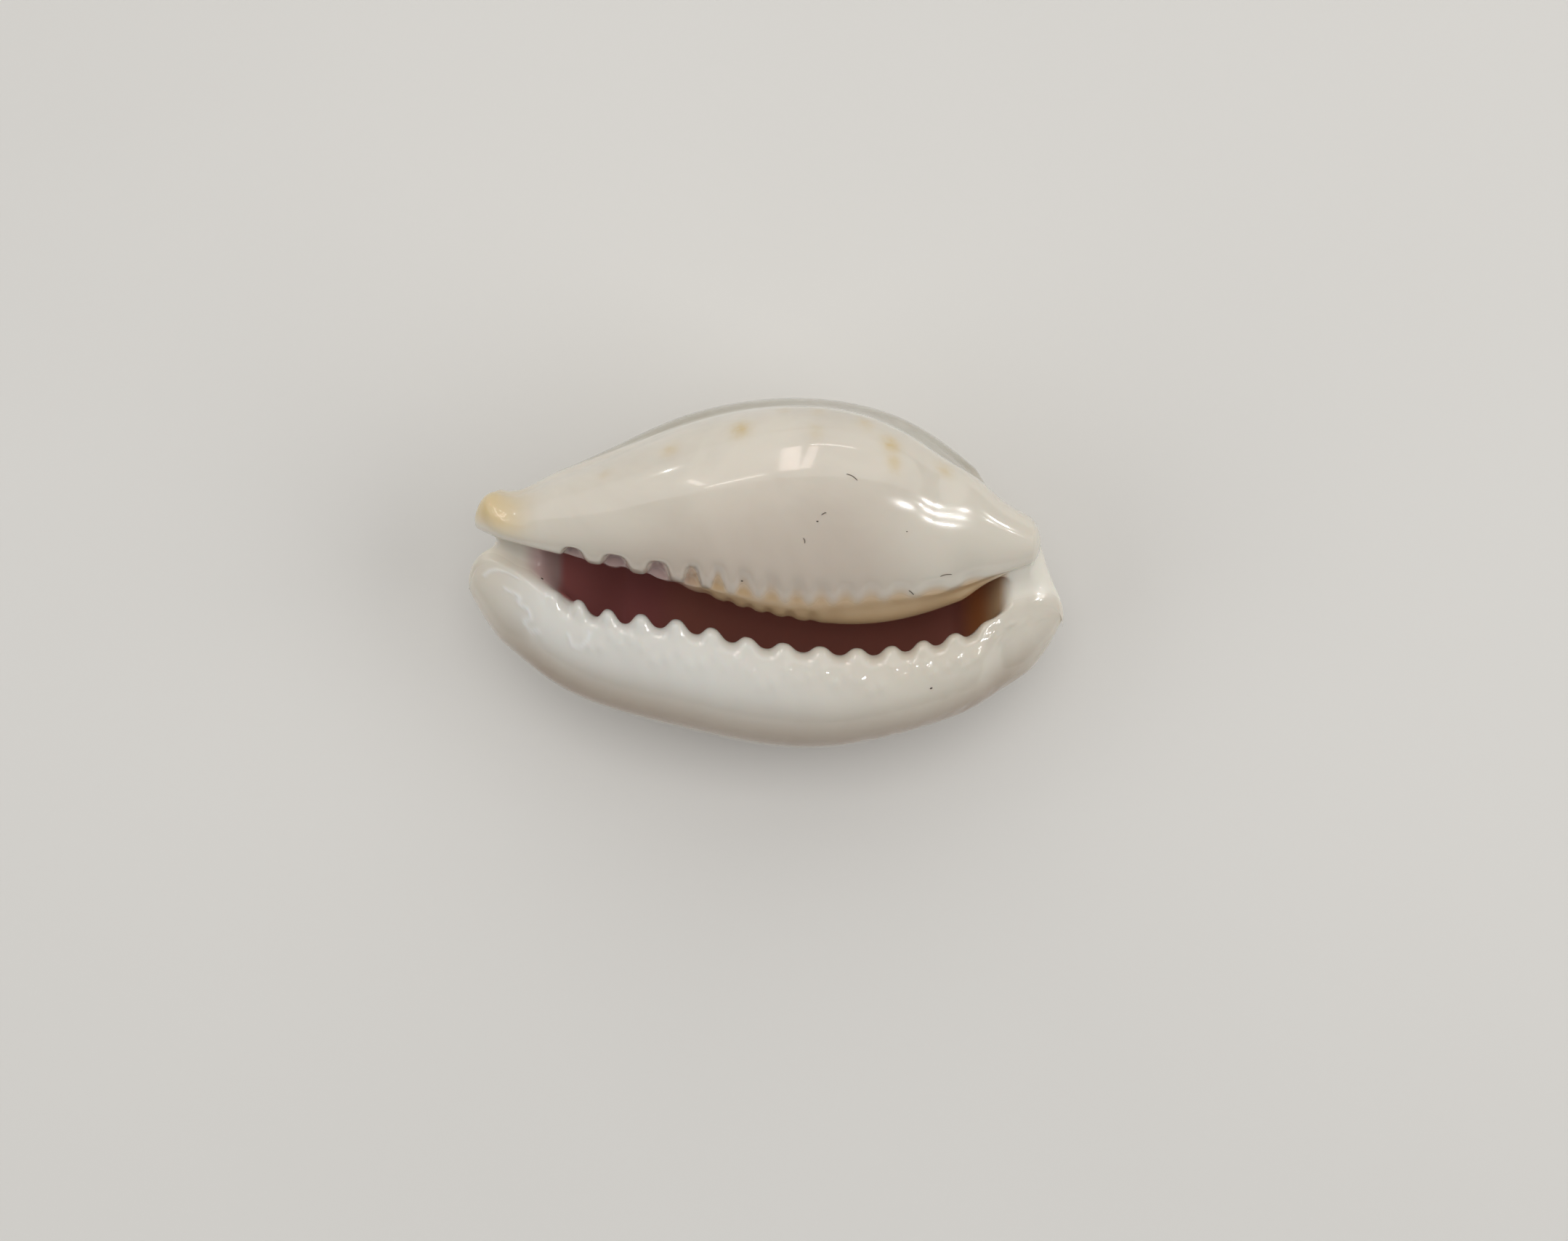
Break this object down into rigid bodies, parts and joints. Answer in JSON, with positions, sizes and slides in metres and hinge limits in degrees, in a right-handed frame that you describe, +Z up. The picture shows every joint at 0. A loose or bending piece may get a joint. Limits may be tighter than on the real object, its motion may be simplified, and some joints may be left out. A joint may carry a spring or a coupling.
{
  "type": "cowrie shell",
  "caption": "Small glossy egg-shaped sea shell with a long toothed slit between a thick rolled lip and a swollen body, lying on its back.",
  "frame": {"origin": "on the ground below the middle of the shell's bounding box, as it lies on the worn spot of its back", "axes": "+X along the shell from the front canal to the spire end, +Y from the outer lip towards the columella, +Z up"},
  "size_m": [0.025, 0.0148, 0.0131],
  "materials": {
    "shell": "glossy cream-white natural porcelain enamel, faint orange spots near the rim, dark brown inside"
  },
  "bodies": {
    "root": {"cowrie_shell": "shell"}
  },
  "joints": []
}
